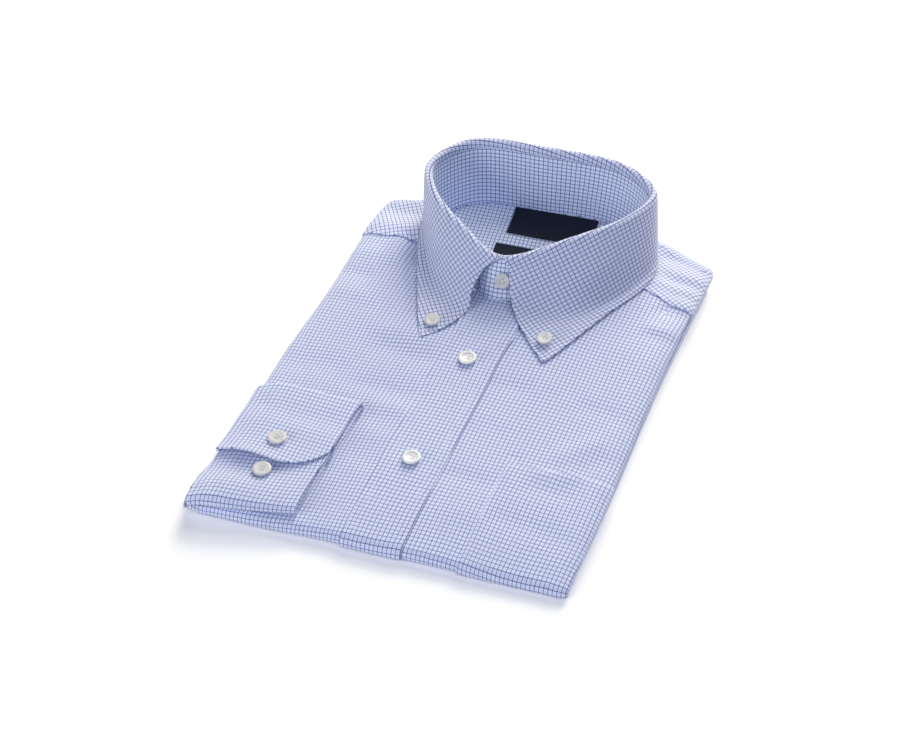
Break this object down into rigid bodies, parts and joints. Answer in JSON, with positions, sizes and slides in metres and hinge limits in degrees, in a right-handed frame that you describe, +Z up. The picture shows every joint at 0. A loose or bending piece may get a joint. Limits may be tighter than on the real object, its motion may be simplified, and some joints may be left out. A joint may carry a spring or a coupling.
{
  "type": "folded twill shirt",
  "caption": "Folded long-sleeved check shirt with a standing button-down collar, front band, chest pocket and one cuff laid on the front.",
  "frame": {"origin": "centre of the bounding box, on the flat underside", "axes": "+X to the wearer's left, +Y from the bottom fold to the collar, +Z up"},
  "size_m": [0.237, 0.341, 0.063],
  "materials": {
    "shirt_cloth": "fine blue graph check on white cotton twill, matt",
    "pearl_button": "glossy off-white pearl",
    "navy_label": "plain navy satin weave"
  },
  "bodies": {
    "root": {"front_left": "shirt_cloth", "front_right": "shirt_cloth", "front_band": "shirt_cloth", "pocket": "shirt_cloth", "yoke": "shirt_cloth", "yoke_lining": "shirt_cloth", "folded_layers": "shirt_cloth", "collar_stand": "shirt_cloth", "collar_leaf": "shirt_cloth", "cuff_right": "shirt_cloth", "sleeve_right": "shirt_cloth", "button_front_upper": "pearl_button", "button_front_lower": "pearl_button", "button_point_left": "pearl_button", "button_point_right": "pearl_button", "button_stand": "pearl_button", "button_cuff_overlap": "pearl_button", "button_cuff_underlap": "pearl_button", "neck_label": "navy_label", "size_tab": "navy_label"}
  },
  "joints": []
}
